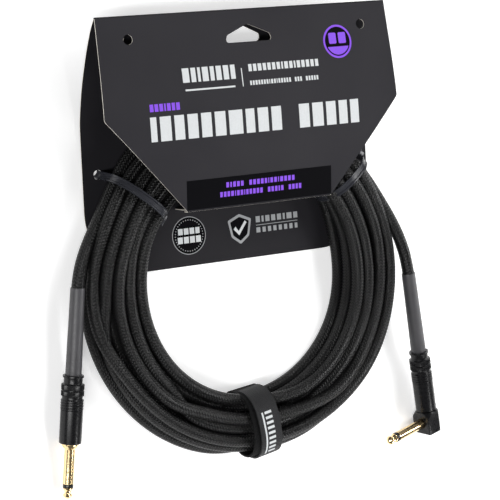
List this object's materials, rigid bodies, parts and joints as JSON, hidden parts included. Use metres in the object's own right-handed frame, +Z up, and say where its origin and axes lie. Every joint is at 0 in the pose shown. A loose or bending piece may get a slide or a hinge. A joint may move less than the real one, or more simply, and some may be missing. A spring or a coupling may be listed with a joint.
{
  "type": "instrument cable",
  "caption": "Coiled woven-jacket instrument cable with a straight and a right-angle plug, strapped and tied to a folded hanging card.",
  "frame": {"origin": "middle of the footprint, on the surface that the coil and its card lie on", "axes": "+Z up out of the surface, +Y towards the card's crease, +X towards the right-angle plug"},
  "size_m": [0.2724, 0.2852, 0.0353],
  "materials": {
    "braid": "fine woven braid",
    "boot_rubber": "satin",
    "black_metal": "glossy black plating",
    "gold": "polished gold plating",
    "insulator": "gloss black",
    "liner_plastic": "milky translucent",
    "tinned_steel": "tinned",
    "core_plastic": "satin",
    "copper": "bare copper",
    "strap_nylon": "woven nylon with a looped pile",
    "tie_nylon": "satin moulded nylon",
    "card_board": "printed matte-laminated card"
  },
  "bodies": {
    "root": {"cable_coil": "braid", "cable_lead_straight": "braid", "cable_lead_angled": "braid", "straight_boot": "boot_rubber", "straight_sleeve": "gold", "straight_tip": "gold", "straight_tip_ring": "insulator", "straight_rod_insulator": "insulator", "straight_rear_washer": "insulator", "straight_tip_lug": "tinned_steel", "straight_ground_lug": "tinned_steel", "straight_core": "core_plastic", "straight_shield_tail": "copper", "angled_boot": "boot_rubber", "angled_elbow_housing": "black_metal", "angled_sleeve": "gold", "angled_tip": "gold", "angled_tip_ring": "insulator", "angled_rod_insulator": "insulator", "angled_tip_lug": "tinned_steel", "angled_ground_lug": "tinned_steel", "angled_core": "core_plastic", "angled_shield_tail": "copper", "wrap_strap": "strap_nylon", "cable_tie_left": "tie_nylon", "cable_tie_right": "tie_nylon", "card_back": "card_board"},
    "straight_liner_body": {"straight_liner": "liner_plastic"},
    "straight_barrel_body": {"straight_barrel": "black_metal"},
    "angled_liner_body": {"angled_liner": "liner_plastic"},
    "angled_barrel_body": {"angled_barrel": "black_metal"},
    "card_front_body": {"card_front": "card_board"},
    "card_tongue_body": {"card_tongue": "card_board"},
    "strap_tail_body": {"wrap_strap_tail": "strap_nylon"}
  },
  "joints": [
    {"name": "straight_barrel_slide", "type": "slide", "parent": "root", "child": "straight_liner_body", "axis": [0.1094, 0.9917, 0.0671], "range_m": [0, 0.032]},
    {"name": "straight_barrel_turn", "type": "hinge", "parent": "straight_liner_body", "child": "straight_barrel_body", "pos_m": [-0.12958, -0.10525, 0.00676], "axis": [-0.1094, -0.9917, -0.0671], "continuous": true},
    {"name": "angled_barrel_slide", "type": "slide", "parent": "root", "child": "angled_liner_body", "axis": [-0.1593, 0.9806, 0.1145], "range_m": [0, 0.032]},
    {"name": "angled_barrel_turn", "type": "hinge", "parent": "angled_liner_body", "child": "angled_barrel_body", "pos_m": [0.12632, -0.12527, 0.00952], "axis": [0.1593, -0.9806, -0.1145], "continuous": true},
    {"name": "card_front_fold", "type": "hinge", "parent": "root", "child": "card_front_body", "pos_m": [-0.00191, 0.14278, 0.02838], "axis": [-1, 0, 0], "range_deg": [0, 150]},
    {"name": "card_tongue_fold", "type": "hinge", "parent": "card_front_body", "child": "card_tongue_body", "pos_m": [-0.00191, 0.02576, 0.03135], "axis": [-1, 0, 0], "range_deg": [0, 85]},
    {"name": "strap_tail_peel", "type": "hinge", "parent": "root", "child": "strap_tail_body", "pos_m": [-0.00685, -0.10137, 0.0291], "axis": [-0.986, -0.1668, 0], "range_deg": [0, 95]}
  ]
}
